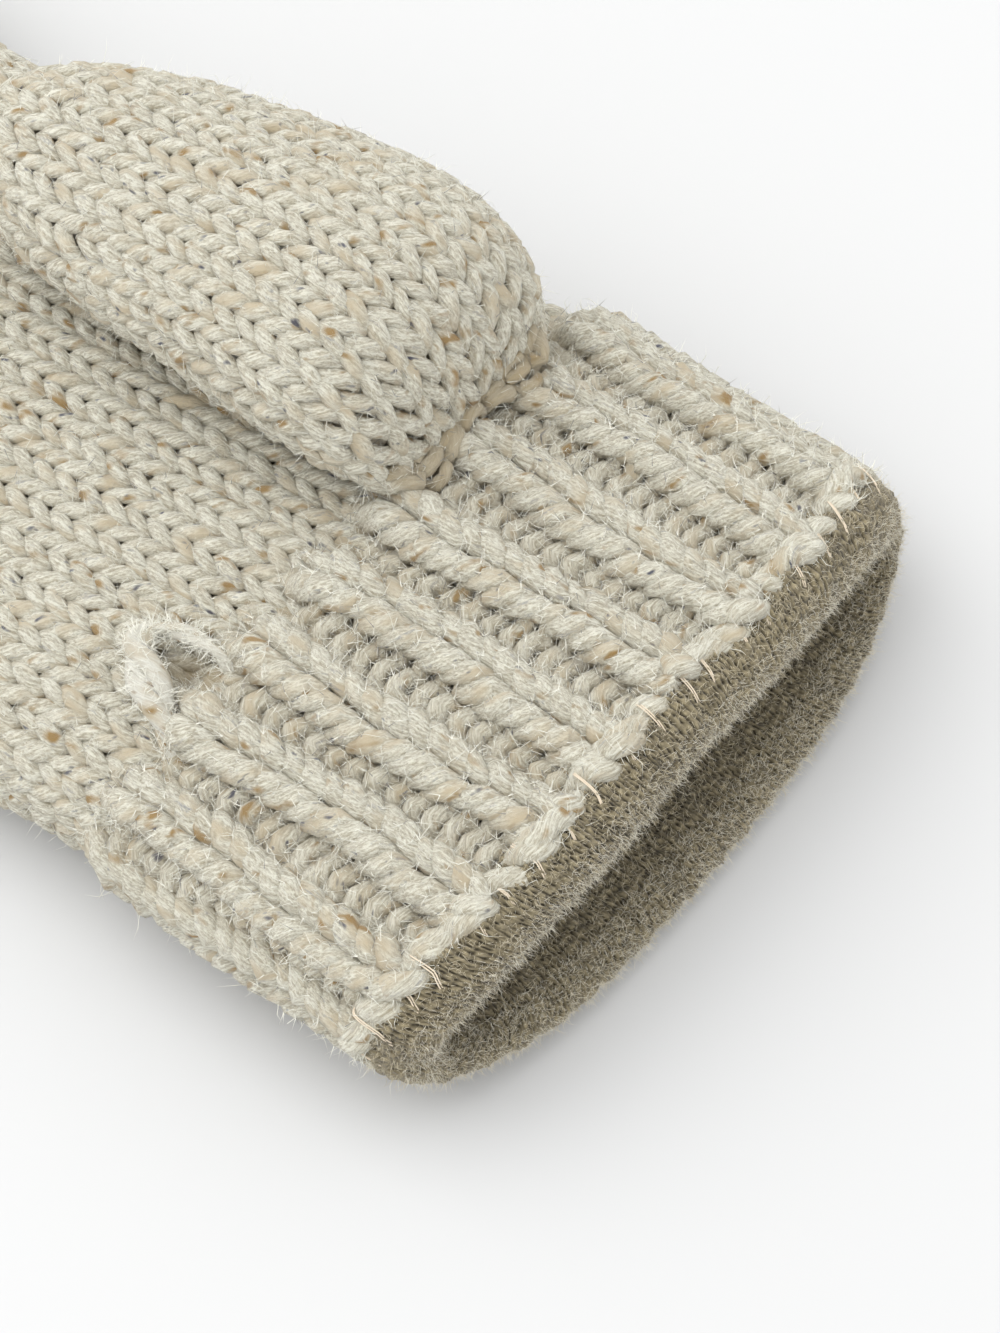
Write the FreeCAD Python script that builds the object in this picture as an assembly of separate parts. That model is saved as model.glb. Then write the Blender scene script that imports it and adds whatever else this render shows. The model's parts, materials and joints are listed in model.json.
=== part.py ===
import FreeCAD, Part

import math
import os

from FreeCAD import Vector

# A right-hand convertible mitten, laid palm up: a ribbed cuff, a knitted hand with a thumb, and a
# hood over the fingers that folds back about the seam at the knuckles. Every knitted piece has its
# own lining. +X runs from the fingertips to the cuff opening, +Y to the thumb's side, +Z up from
# the back of the hand to the palm. Millimetres. The origin is under the middle of the whole mitten.

# Lengths along X, from the cuff's rim to the end of the loop on the hood
RIM_REACH = 9.0
CUFF_LENGTH = 52.0
HAND_LENGTH = 112.0
HOOD_LENGTH = 74.0
LOOP_REACH = 8.0

# Widths and heights
CUFF_HALF_RIM = 51.5
CUFF_HALF_WRIST = 53.5
CUFF_HEIGHT = 28.0
RIM_SWEEP = 9.0
HAND_HALF_WRIST = 50.5
HAND_HALF_KNUCKLE = 48.0
HAND_HEIGHT = 24.0
HOOD_HALF = 53.6
HOOD_HEIGHT = 29.0
THUMB_LENGTH = 76.0
THUMB_HALF = 21.2
THUMB_RADIUS = 11.7
THUMB_SETBACK = 9.3

# Where the middle of each part lies across the mitten
RIM_Y = 8.1
WRIST_Y = 5.6
KNUCKLE_Y = -5.6
HOOD_Y = -5.1
HOOD_TIP_Y = -8.0
THUMB_Y = 28.0

# Fabric
CUFF_WALL = 4.2
KNIT_WALL = 3.4
LINING = 1.55
NEST_GAP = 0.05
FLOOR_TRIM = 0.3
BODY_GAP = 0.3
HAND_CLEARANCE = 0.9
HAND_SIDE_CLEARANCE = 1.6

# The lining's roll over the cuff's edge: how far out, and how far in from the cuff's outside
ROLL_OUTSIDE = ((0.05, 1.6), (4.5, 2.0), (7.5, 3.0), (RIM_REACH, 4.9))
ROLL_INSIDE_REACH = 7.5

# Fingers, hood edge, button and loop
STALL_LENGTH = 14.0
STALL_WIDTH = 20.0
STALL_HEIGHT = 11.6
STALL_WALL = 2.2
STALL_FLOOR = 5.4
WEB_THICKNESS = 3.0
BAND_OVERLAP = 9.0
BAND_FLOOR = 12.4
SEAM_WIDTH = 2.4
SEAM_END_MARGIN = 2.0
BUTTON_RADIUS = 7.0
BUTTON_THICKNESS = 2.8
BUTTON_LIFT = 0.35
BUTTON_RIM = 2.0
BUTTON_DISH = 0.8
BUTTON_RECESS = 1.2
BUTTON_HOLE_OFFSET = 1.6
BUTTON_HOLE_PLAY = 0.3
BUTTON_FROM_WRIST = 18.0
THREAD_RADIUS = 0.5
THREAD_LIFT = 0.1
THREAD_BAR = 0.8
LOOP_RADIUS = 1.1
LOOP_HALF = 4.0
LOOP_HEIGHT = 10.0
STITCH_PITCH = 8.2
STITCH_LENGTH = 3.4
STITCH_INSET = 1.05
STITCH_RADIUS = 0.3
SEAM_RING = 3.0
THUMB_HOLE_LENGTH = 18.0
THUMB_HOLE_WIDTH = 20.0
THUMB_HOLE_SETBACK = 5.0

# The thumb's rounded base, by angle about the pivot, and its tip, by share of the bend
THUMB_BASE_ANGLES = (76, 60, 44, 28, 13, 0)
THUMB_BASE_NARROWING = 0.35
THUMB_TIP_BEND = 30.0
THUMB_TIP_SHARES = (0.0, 0.3, 0.5, 0.66, 0.79, 0.89, 0.96)
THUMB_SIDE_MARGIN = 0.6

# The hood's taper, by share of its length
HOOD_SHARES = (0.0, 0.3, 0.45, 0.58, 0.7, 0.8, 0.88, 0.94, 0.98, 1.0)
HOOD_TAPER_START = 0.3
HOOD_TAPER_RUN = 0.75
HOOD_TAPER_POWER = 2.6
HOOD_TIP_LIFT = 4.0
HOOD_TIP_DROP = 5.0

# A distance past everything, for cutting blocks
FAR = 100.0

# Places that follow from these
TOTAL = RIM_REACH + CUFF_LENGTH + HAND_LENGTH + HOOD_LENGTH + LOOP_REACH
RIM_X = TOTAL / 2
EDGE_X = RIM_X - RIM_REACH
WRIST_X = EDGE_X - CUFF_LENGTH
HINGE_X = WRIST_X - HAND_LENGTH
TIP_X = HINGE_X - HOOD_LENGTH
PIVOT_X = WRIST_X - THUMB_SETBACK
PIVOT_Z = HAND_HEIGHT + BODY_GAP + THUMB_RADIUS
THUMB_BASE_X = PIVOT_X + THUMB_RADIUS
THUMB_TIP_X = THUMB_BASE_X - THUMB_LENGTH
HOLE_X = PIVOT_X - THUMB_HOLE_SETBACK
LINED = KNIT_WALL + NEST_GAP + LINING
FACE_X = HINGE_X - BODY_GAP


def save(name, shape):
    """Writes one node, after a check that it is sound."""
    solids = shape.Solids
    sound = all(s.isValid() and s.Volume > 0 for s in solids)
    print(f"{name}: {len(solids)} solid(s), {shape.Volume:.0f} mm3, valid {sound}")
    shape.exportStep(f"parts/{name}.step")


def curve(points):
    """A smooth edge through points."""
    line = Part.BSplineCurve()
    line.interpolate(points)
    return line.toShape()


def ring(x_at, middle, half, low, high, inset=0.0):
    """A wire round the mitten, flat below and above with half-round sides, inset all round. x_at
    gives X for a distance from the middle, so that a rim can curve."""
    half = half - inset
    low = low + inset
    high = high - inset
    radius = (high - low) / 2
    centre_z = (low + high) / 2
    straight = half - radius

    def flat(side, z, samples=8):
        across = [side * straight * (2 * i / samples - 1) for i in range(samples + 1)]
        return curve([Vector(x_at(y), middle + y, z) for y in across])

    def half_round(side, samples=8):
        points = []
        for i in range(samples + 1):
            angle = -math.pi / 2 + math.pi * i / samples
            y = side * (straight + radius * math.cos(angle))
            points.append(Vector(x_at(y), middle + y, centre_z + side * radius * math.sin(angle)))
        return curve(points)

    return Part.Wire([flat(1, low), half_round(1), flat(-1, high), half_round(-1)])


def level(x, middle, half, low, high, inset=0.0):
    """A ring in a plane across X."""
    return ring(lambda y: x, middle, half, low, high, inset)


def skin(wires):
    """The faces between each wire and the next, ruled from edge to edge."""
    faces = []
    for near, far in zip(wires, wires[1:]):
        faces += [Part.makeRuledSurface(a, b) for a, b in zip(near.Edges, far.Edges)]
    return faces


def closed(faces):
    """The solid that the faces close round."""
    shell = Part.makeShell(faces)
    shell.sewShape()
    solid = Part.makeSolid(Part.Shell(shell.Faces))
    if solid.Volume < 0:
        solid.reverse()
    return solid


def tube(outer, inner):
    """A tube with its walls between the outer wires and the inner ones, both listed from one end
    to the other."""
    ends = skin([outer[-1], inner[-1]]) + skin([inner[0], outer[0]])
    return closed(skin(outer) + skin(inner) + ends)


def cup(outer, inner):
    """A lofted bag: the loft of the outer wires less that of the inner ones."""
    return Part.makeLoft(outer, True, True).cut(Part.makeLoft(inner, True, True))


def block(x_low, x_high, y_low, y_high, z_low, z_high):
    size = (x_high - x_low, y_high - y_low, z_high - z_low)
    return Part.makeBox(*size, Vector(x_low, y_low, z_low))


def rim_x(reach):
    """How far out the rim is, at a distance from the middle: the corners draw back."""
    return lambda y: reach - RIM_SWEEP * (abs(y) / CUFF_HALF_RIM) ** 3


def cuff_ring(reach, inset):
    return ring(rim_x(reach), RIM_Y, CUFF_HALF_RIM, 0, CUFF_HEIGHT, inset)


def wrist_ring(inset):
    return level(WRIST_X, WRIST_Y, CUFF_HALF_WRIST, 0, CUFF_HEIGHT, inset)


def cuff_rib():
    return tube([wrist_ring(0), cuff_ring(EDGE_X, 0)], [wrist_ring(CUFF_WALL), cuff_ring(EDGE_X, CUFF_WALL)])


def cuff_lining():
    """The lining lies inside the cuff, comes out past its edge and rolls back over the edge."""
    under = CUFF_WALL + NEST_GAP
    inside = under + LINING
    roll = [(ROLL_OUTSIDE[0][0], under), *ROLL_OUTSIDE, (ROLL_INSIDE_REACH, inside)]
    outer = [wrist_ring(under)] + [cuff_ring(EDGE_X + out, inset) for out, inset in roll]
    inner = [wrist_ring(inside), outer[-1]]
    return closed(skin(outer) + skin(inner) + skin([inner[0], outer[0]]))


def rim_stitches():
    """Whip stitches from the cuff's edge over the rolled lining, all round."""
    path = cuff_ring(EDGE_X, STITCH_INSET)
    places = path.discretize(Number=int(path.Length / STITCH_PITCH))
    stitches = []
    for p in places[:-1]:
        start = Vector(p.x + 2 * NEST_GAP, p.y, p.z)
        stitches.append(Part.makeCylinder(STITCH_RADIUS, STITCH_LENGTH, start, Vector(1, 0, 0)))
    return Part.makeCompound(stitches)


def hand_ring(x, inset, low=0.0):
    """A ring of the hand, whose middle runs towards -Y on the way to the knuckles."""
    share = (WRIST_X - x) / HAND_LENGTH
    middle = WRIST_Y + (KNUCKLE_Y - WRIST_Y) * share
    half = HAND_HALF_WRIST + (HAND_HALF_KNUCKLE - HAND_HALF_WRIST) * share
    return level(x, middle, half, low, HAND_HEIGHT, inset)


def hand_tube(outer, inner, low=0.0):
    ends = [WRIST_X - NEST_GAP, HINGE_X]
    return tube([hand_ring(x, outer, low) for x in ends], [hand_ring(x, inner) for x in ends])


def thumb_hole(grow, low, high):
    """The passage from the palm to the thumb."""
    length = THUMB_HOLE_LENGTH / 2 + grow
    width = THUMB_HOLE_WIDTH / 2 + grow
    return block(HOLE_X - length, HOLE_X + length, THUMB_Y - width, THUMB_Y + width, low, high)


def button_place(z):
    return Vector(WRIST_X - BUTTON_FROM_WRIST, WRIST_Y, z)


def hinge_strip(grow):
    """The strip of the back of the hand that the hood is sewn to."""
    width = SEAM_WIDTH + grow
    span = HAND_HALF_KNUCKLE - HAND_HEIGHT / 2 - SEAM_END_MARGIN
    low, high = KNUCKLE_Y - span - grow, KNUCKLE_Y + span + grow
    return block(HINGE_X - grow, HINGE_X + width, low, high, -grow, KNIT_WALL + grow / 2)


def hand_shell():
    shell = hand_tube(0, KNIT_WALL, low=-FLOOR_TRIM)
    shell = shell.cut(block(-FAR, FAR, -FAR, FAR, -FAR, 0))
    shell = shell.cut(thumb_hole(SEAM_RING + NEST_GAP, HAND_HEIGHT / 2, HAND_HEIGHT + 1))
    shell = shell.cut(Part.makeCylinder(BUTTON_RADIUS + BUTTON_RECESS, KNIT_WALL + 2, button_place(-1)))
    return shell.cut(hinge_strip(NEST_GAP))


def hand_lining():
    lining = hand_tube(KNIT_WALL + NEST_GAP, LINED)
    return lining.cut(thumb_hole(SEAM_RING + NEST_GAP, HAND_HEIGHT / 2, HAND_HEIGHT + 1))


def thumb_seam():
    """The ring of knitting that the thumb grows from."""
    ring_block = thumb_hole(SEAM_RING, HAND_HEIGHT - LINED, HAND_HEIGHT)
    return ring_block.cut(thumb_hole(0, 0, HAND_HEIGHT + 1))


def stall_middle(i):
    """Where finger i lies across the hand, from the index finger, beside the thumb, on."""
    return KNUCKLE_Y + (1.5 - i) * (STALL_WIDTH + 0.8)


def stall_ring(i, x, inset):
    return level(x, stall_middle(i), STALL_WIDTH / 2, STALL_FLOOR, STALL_FLOOR + STALL_HEIGHT, inset)


def finger_stall(i):
    ends = [HINGE_X - NEST_GAP, HINGE_X - STALL_LENGTH]
    return tube([stall_ring(i, x, 0) for x in ends], [stall_ring(i, x, STALL_WALL) for x in ends])


def knuckle_web():
    """The end of the hand between the fingers."""
    ends = [HINGE_X + 0.05, HINGE_X + WEB_THICKNESS]
    web = Part.makeLoft([hand_ring(x, LINED + NEST_GAP) for x in ends], True, True)
    through = [HINGE_X - 1, HINGE_X + WEB_THICKNESS + 1]
    for i in range(4):
        web = web.cut(Part.makeLoft([stall_ring(i, x, STALL_WALL) for x in through], True, True))
    return web


def hold_back_button():
    button = Part.makeCylinder(BUTTON_RADIUS, BUTTON_THICKNESS, button_place(BUTTON_LIFT))
    dish = Part.makeCylinder(BUTTON_RADIUS - BUTTON_RIM, BUTTON_DISH, button_place(BUTTON_LIFT))
    button = button.cut(dish)
    for place in button_holes():
        button = button.cut(Part.makeCylinder(THREAD_RADIUS + BUTTON_HOLE_PLAY, 2 * BUTTON_THICKNESS, place))
    return button


def button_holes():
    centre = button_place(0)
    off = BUTTON_HOLE_OFFSET
    return [centre + Vector(off * a, off * b, 0) for a in (-1, 1) for b in (-1, 1)]


def button_thread():
    lift = Vector(0, 0, THREAD_LIFT)
    legs = [Part.makeCylinder(THREAD_RADIUS, KNIT_WALL - THREAD_LIFT, p + lift) for p in button_holes()]
    x, off, half = button_place(0).x, BUTTON_HOLE_OFFSET, THREAD_BAR / 2
    bars = []
    for y in (button_place(0).y - off, button_place(0).y + off):
        bars.append(block(x - off, x + off, y - half, y + half, THREAD_LIFT, THREAD_LIFT + THREAD_BAR))
    return legs[0].multiFuse(legs[1:] + bars).removeSplitter()


def thumb_rings(inset):
    """The thumb from its rounded base, which turns about the pivot, to its tip."""
    rings = []
    reach = THUMB_RADIUS - inset
    for angle in THUMB_BASE_ANGLES:
        x = PIVOT_X + reach * math.sin(math.radians(angle))
        height = reach * math.cos(math.radians(angle))
        rings.append((x, THUMB_HALF - inset - THUMB_BASE_NARROWING * (reach - height), height))
    tip = THUMB_TIP_X + inset
    bend = tip + THUMB_TIP_BEND
    for share in THUMB_TIP_SHARES:
        narrow = math.sqrt(1 - share**2)
        height = reach * (1 - share**4) ** 0.5
        half = max((THUMB_HALF - inset) * narrow, height + THUMB_SIDE_MARGIN)
        rings.append((bend - (bend - tip) * share, half, height))
    return [level(x, THUMB_Y, half, PIVOT_Z - h, PIVOT_Z + h) for x, half, h in rings]


def thumb_cup(outer, inner):
    thumb = cup(thumb_rings(outer), thumb_rings(inner))
    return thumb.cut(thumb_hole(0, HAND_HEIGHT - 1, PIVOT_Z - 2))


def hood_rings(inset, start):
    """The hood from its open end to its rounded tip, thinner towards the tip."""
    rings = []
    tip = TIP_X + inset
    for share in HOOD_SHARES:
        x = HINGE_X + (tip - HINGE_X) * share
        taper = max(0.0, (share - HOOD_TAPER_START) / HOOD_TAPER_RUN)
        narrow = math.sqrt(1 - taper**HOOD_TAPER_POWER)
        middle = HOOD_Y + (HOOD_TIP_Y - HOOD_Y) * share
        low = HOOD_TIP_LIFT * share**8
        high = HOOD_HEIGHT - HOOD_TIP_DROP * (share**2 + share**8)
        half = HOOD_HALF * narrow
        rings.append((start if share == 0.0 else x, middle, half, low, high))
    return [level(*r, inset=inset) for r in rings]


def hood_cup(outer, inner):
    bag = cup(hood_rings(outer, FACE_X + 5), hood_rings(inner, FACE_X + 5))
    return bag.common(block(TIP_X - FAR, FACE_X, -FAR, FAR, -FAR, FAR))


def hood_band():
    """The hood's edge on the palm side, which laps over the hand."""
    ends = [FACE_X + NEST_GAP, HINGE_X + BAND_OVERLAP]
    outside = Part.makeLoft([level(x, HOOD_Y, HOOD_HALF, 0, HOOD_HEIGHT) for x in ends], True, True)
    half = HAND_HALF_KNUCKLE + HAND_SIDE_CLEARANCE
    hollow = [HINGE_X - 2, HINGE_X + BAND_OVERLAP + 2]
    low, high = -0.5, HAND_HEIGHT + HAND_CLEARANCE
    inside = Part.makeLoft([level(x, HOOD_Y, half, low, high) for x in hollow], True, True)
    return outside.cut(inside).cut(block(-FAR - TOTAL, FAR, -FAR, FAR, -FAR, BAND_FLOOR))


def hold_loop():
    """The loop at the hood's tip that goes over the button when the hood is folded back."""
    z = LOOP_HEIGHT
    start = TIP_X - NEST_GAP
    bend = TIP_X - LOOP_REACH + LOOP_HALF + LOOP_RADIUS
    y_low, y_high = HOOD_TIP_Y - LOOP_HALF, HOOD_TIP_Y + LOOP_HALF
    top = Vector(bend - LOOP_HALF, HOOD_TIP_Y, z)
    path = Part.Wire(
        [
            Part.LineSegment(Vector(start, y_high, z), Vector(bend, y_high, z)).toShape(),
            Part.Arc(Vector(bend, y_high, z), top, Vector(bend, y_low, z)).toShape(),
            Part.LineSegment(Vector(bend, y_low, z), Vector(start, y_low, z)).toShape(),
        ]
    )
    profile = Part.Wire(Part.makeCircle(LOOP_RADIUS, Vector(start, y_high, z), Vector(1, 0, 0)))
    return path.makePipeShell([profile], True, False)


def main():
    os.makedirs("parts", exist_ok=True)
    save("cuff_rib", cuff_rib())
    save("cuff_lining", cuff_lining())
    save("rim_stitches", rim_stitches())
    save("hand_shell", hand_shell())
    save("hand_lining", hand_lining())
    save("thumb_seam", thumb_seam())
    save("knuckle_web", knuckle_web())
    for i, finger in enumerate(("index", "middle", "ring", "little")):
        save(f"{finger}_stall", finger_stall(i))
    save("hinge_seam", hinge_strip(0))
    save("hold_back_button", hold_back_button())
    save("button_thread", button_thread())
    save("thumb_shell", thumb_cup(0, KNIT_WALL))
    save("thumb_lining", thumb_cup(KNIT_WALL + NEST_GAP, LINED))
    save("hood_shell", hood_cup(0, KNIT_WALL))
    save("hood_lining", hood_cup(KNIT_WALL + NEST_GAP, LINED))
    save("hood_band", hood_band())
    save("hold_loop", hold_loop())
    print(f"hood hinge at X {HINGE_X:.2f}, Z 0; thumb pivot at X {PIVOT_X:.2f}, Z {PIVOT_Z:.2f}")


main()
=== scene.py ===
import json
import math

import bpy
import numpy as np
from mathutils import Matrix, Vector


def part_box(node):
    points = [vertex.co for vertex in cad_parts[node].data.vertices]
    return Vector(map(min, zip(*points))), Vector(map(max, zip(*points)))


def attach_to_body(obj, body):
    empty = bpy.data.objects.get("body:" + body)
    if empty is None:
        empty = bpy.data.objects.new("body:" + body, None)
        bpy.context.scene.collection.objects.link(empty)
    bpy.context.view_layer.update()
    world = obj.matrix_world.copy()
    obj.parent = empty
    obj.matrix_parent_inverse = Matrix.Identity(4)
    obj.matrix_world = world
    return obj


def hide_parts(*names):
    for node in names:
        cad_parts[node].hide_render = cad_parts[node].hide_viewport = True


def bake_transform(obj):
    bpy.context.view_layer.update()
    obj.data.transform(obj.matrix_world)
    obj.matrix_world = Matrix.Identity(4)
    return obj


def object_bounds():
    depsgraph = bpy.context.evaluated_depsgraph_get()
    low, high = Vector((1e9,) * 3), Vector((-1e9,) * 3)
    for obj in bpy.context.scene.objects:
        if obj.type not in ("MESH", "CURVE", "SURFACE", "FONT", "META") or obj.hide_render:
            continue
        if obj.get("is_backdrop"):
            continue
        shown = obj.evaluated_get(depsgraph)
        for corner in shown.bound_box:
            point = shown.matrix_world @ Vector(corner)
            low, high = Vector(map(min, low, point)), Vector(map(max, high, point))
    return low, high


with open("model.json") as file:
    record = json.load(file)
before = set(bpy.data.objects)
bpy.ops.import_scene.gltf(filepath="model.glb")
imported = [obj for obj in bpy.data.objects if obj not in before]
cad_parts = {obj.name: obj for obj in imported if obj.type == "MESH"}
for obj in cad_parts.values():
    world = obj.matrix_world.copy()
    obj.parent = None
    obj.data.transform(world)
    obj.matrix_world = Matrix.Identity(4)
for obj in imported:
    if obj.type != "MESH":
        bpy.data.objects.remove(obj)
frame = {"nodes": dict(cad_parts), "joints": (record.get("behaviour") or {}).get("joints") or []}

# The looks of a convertible mitten, knitted stitch by stitch. Every row of the bulky knitting is one
# yarn, swept along the loops that such a row makes. Sizes here are in millimetres; to_mesh() turns
# them into the frame's metres.

MM = 0.001
UP = np.array([0, 0, 1.0])
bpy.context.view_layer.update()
rng = np.random.default_rng(7)


def box(node):
    """A CAD node's lowest and highest corners, in millimetres."""
    low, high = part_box(node)
    return np.array(low) / MM, np.array(high) / MM


# Places, from the frame
CUFF_LOW, CUFF_HIGH = box("cuff_rib")
HAND_LOW, HAND_HIGH = box("hand_shell")
THUMB_LOW, THUMB_HIGH = box("thumb_shell")
HOOD_LOW, HOOD_HIGH = box("hood_shell")
BAND_LOW, BAND_HIGH = box("hood_band")
BUTTON_LOW, BUTTON_HIGH = box("hold_back_button")
WRIST_X = CUFF_LOW[0]
EDGE_X = CUFF_HIGH[0]
HINGE_X = HAND_LOW[0]
CUFF_LENGTH = EDGE_X - WRIST_X
HAND_LENGTH = WRIST_X - HINGE_X
JOINTS = {j["name"]: np.array(j["pos_m"]) / MM for j in frame["joints"]}
PIVOT = JOINTS["thumb_swing"]

# Shape across the mitten
CUFF_HALF_WRIST = 53.5
CUFF_HALF_RIM = 51.5
RIM_SWEEP = 9.0
LIP_REACH = 1.2
FOOT_REACH = 1.15
TOP_DIP = 4.6
HAND_HALF_WRIST = 50.5
HAND_HALF_KNUCKLE = 48.0
THUMB_SIDE_WAIST = 0.07
NEAR_SIDE_WAIST = 0.06
RIM_Y = CUFF_HIGH[1] - CUFF_HALF_RIM
WRIST_Y = CUFF_LOW[1] + CUFF_HALF_WRIST
KNUCKLE_Y = JOINTS["hood_flip"][1]
THUMB_Y = PIVOT[1]
THUMB_HALF = (THUMB_HIGH[1] - THUMB_LOW[1]) / 2

# Bulky yarn and its gauge
YARN = 1.1
WALE = 5.1
COURSE = 3.45
RIB_COLUMNS = 36
RIB_COURSE = 2.75
RIB_RELIEF = 1.35
SIDES = 8
STEPS = 14
FLOOR_GAP = 0.03

# Fine lining
FINE_WALE = 1.7
FINE_COURSE = 1.3
FINE_HEIGHT = 0.8

RING_SAMPLES = 240
QUARTER = RING_SAMPLES // 4


# Small helpers


def smooth(x):
    """0 below 0, 1 above 1, and an S-shaped rise between."""
    x = np.clip(x, 0, 1)
    return x * x * (3 - 2 * x)


def unit(vectors):
    return vectors / np.maximum(np.linalg.norm(vectors, axis=-1, keepdims=True), 1e-9)


def run_along(points):
    """Each point's distance along their line, from the first."""
    return np.concatenate([[0], np.cumsum(np.linalg.norm(np.diff(points, axis=0), axis=1))])


def smooth_line(points, knots, count, width):
    """count samples along the line through points, its corners rounded over width samples."""
    fine = np.linspace(0, knots[-1], count)
    line = np.stack([np.interp(fine, knots, column) for column in points.T], 1)
    window = np.hanning(width)
    padded = np.pad(line, ((width // 2, width // 2), (0, 0)), mode="edge")
    return np.stack([np.convolve(column, window / window.sum(), "valid") for column in padded.T], 1)


def waves(around, *terms):
    """Waves round a piece: each term is a height, a count and a shift."""
    return sum(height * np.sin(around * 2 * math.pi * count + shift) for height, count, shift in terms)


# Surfaces


def outline(half, low, high, top_power=2.6, foot_power=2.8, waist=0.46):
    """Points round a soft, flattened tube, as (across, up), from the middle of its top towards +Y and
    round. The widest place is a quarter of the way round, and each quarter has even steps."""
    belt = low + waist * (high - low)

    def arc(power, rise):
        angle = np.linspace(0, math.pi / 2, 200)
        y = half * np.sin(angle) ** (2 / power)
        z = rise * np.cos(angle) ** (2 / power)
        along = np.concatenate([[0], np.cumsum(np.hypot(np.diff(y), np.diff(z)))])
        at = np.linspace(0, along[-1], QUARTER + 1)
        return np.interp(at, along, y), np.interp(at, along, z)

    top_y, top_z = arc(top_power, high - belt)
    foot_y, foot_z = arc(foot_power, belt - low)
    y = np.concatenate([top_y[:-1], foot_y[:0:-1], -foot_y[:-1], -top_y[:0:-1]])
    z = np.concatenate([top_z[:-1], -foot_z[:0:-1], -foot_z[:-1], top_z[:0:-1]])
    return y, belt + z


class Skin:
    """A surface through rings, read by how far round (0 to 1, from the middle of the top towards +Y)
    and how far along its top, in millimetres."""

    def __init__(self, rings):
        self.points = np.array(rings, float)
        around = np.roll(self.points, -1, 1) - np.roll(self.points, 1, 1)
        along = np.gradient(self.points, axis=0)
        self.normals = unit(np.cross(along, around))
        ring, normals = self.points[len(rings) // 2], self.normals[len(rings) // 2]
        if ((ring - ring.mean(0)) * normals).sum() < 0:
            self.normals = -self.normals
        spine = (self.points[:, 0] + self.points[:, QUARTER] + self.points[:, -QUARTER]) / 3
        self.along = run_along(spine)
        self.length = self.along[-1]
        # How far it is round each ring's upper half, and round its lower half
        step = np.linalg.norm(np.roll(self.points, -1, 1) - self.points, axis=2)
        self.top = step[:, :QUARTER].sum(1) + step[:, -QUARTER:].sum(1)
        self.foot = step[:, QUARTER:-QUARTER].sum(1)

    def at(self, around, along, off=0.0):
        """Points and outward normals, raised by off."""
        rows = np.interp(along, self.along, np.arange(len(self.along)))
        r = np.minimum(rows.astype(int), len(self.along) - 2)
        fr = (rows - r)[..., None]
        columns = (around % 1.0) * RING_SAMPLES
        c = columns.astype(int) % RING_SAMPLES
        fc = (columns - np.floor(columns))[..., None]
        d = (c + 1) % RING_SAMPLES

        def mix(grid):
            near = grid[r, c] * (1 - fc) + grid[r, d] * fc
            far = grid[r + 1, c] * (1 - fc) + grid[r + 1, d] * fc
            return near * (1 - fr) + far * fr

        normal = unit(mix(self.normals))
        return mix(self.points) + normal * np.asarray(off)[..., None], normal


def cuff_ring(share, reach=0.0, inset=0.0, foot=None):
    """A ring of the cuff, share of the way from the wrist to its edge, reach further out. inset is
    how far in it lies, and foot is how far in below, where the rim also reaches less far out."""
    half = CUFF_HALF_WRIST + (CUFF_HALF_RIM - CUFF_HALF_WRIST) * share
    middle = WRIST_Y + (RIM_Y - WRIST_Y) * share
    high = CUFF_HIGH[2]
    foot = inset if foot is None else foot
    y, z = outline(half - (inset + foot) / 2, foot, high - inset)
    y = np.where(y < 0, y * (1 - NEAR_SIDE_WAIST * (1 - share)), y)
    below = 1 - z / high
    x = WRIST_X + share * CUFF_LENGTH - RIM_SWEEP * share * np.abs(y / half) ** 3
    x = x + reach * (1 - (1 - FOOT_REACH) * below) + LIP_REACH * share**3 * (2 * below - 1)
    x = x - TOP_DIP * share**3 * (1 - below) * np.maximum(1 - (y / half) ** 2, 0)
    return np.stack([x, middle + y, z], 1)


def hand_ring(x):
    """A ring of the hand, at X. Its middle runs towards -Y on the way to the knuckles."""
    share = (WRIST_X - x) / HAND_LENGTH
    half = HAND_HALF_WRIST + (HAND_HALF_KNUCKLE - HAND_HALF_WRIST) * share
    middle = WRIST_Y + (KNUCKLE_Y - WRIST_Y) * share
    y, z = outline(half, 0.0, HAND_HIGH[2], top_power=2.8)
    waist = smooth(share / 0.5) * (1 - smooth((share - 0.7) / 0.25))
    wrist = 1 - smooth(share / 0.55)
    y = np.where(y > 0, y * (1 - THUMB_SIDE_WAIST * waist), y * (1 - NEAR_SIDE_WAIST * wrist))
    return np.stack([np.full_like(y, x), middle + y, z], 1)


# Meshes


def to_mesh(name, points, faces, material, attributes=None):
    """A smooth-shaded object from millimetre points and faces of three or four corners."""
    mesh = bpy.data.meshes.new(name)
    points = np.asarray(points, np.float32) * MM
    faces = np.asarray(faces, np.int32)
    corners = faces.shape[1]
    mesh.vertices.add(len(points))
    mesh.vertices.foreach_set("co", points.ravel())
    mesh.loops.add(faces.size)
    mesh.loops.foreach_set("vertex_index", faces.ravel())
    mesh.polygons.add(len(faces))
    mesh.polygons.foreach_set("loop_start", np.arange(len(faces), dtype=np.int32) * corners)
    mesh.polygons.foreach_set("loop_total", np.full(len(faces), corners, np.int32))
    for key, values in (attributes or {}).items():
        kind = "FLOAT_VECTOR" if values.ndim == 2 else "FLOAT"
        layer = mesh.attributes.new(key, kind, "POINT")
        field = "vector" if values.ndim == 2 else "value"
        layer.data.foreach_set(field, values.astype(np.float32).ravel())
    mesh.update()
    mesh.validate()
    mesh.polygons.foreach_set("use_smooth", np.ones(len(mesh.polygons), bool))
    mesh.materials.append(material)
    return add_object(name, mesh)


def add_object(name, data):
    made = bpy.data.objects.new(name, data)
    bpy.context.scene.collection.objects.link(made)
    return made


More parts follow.
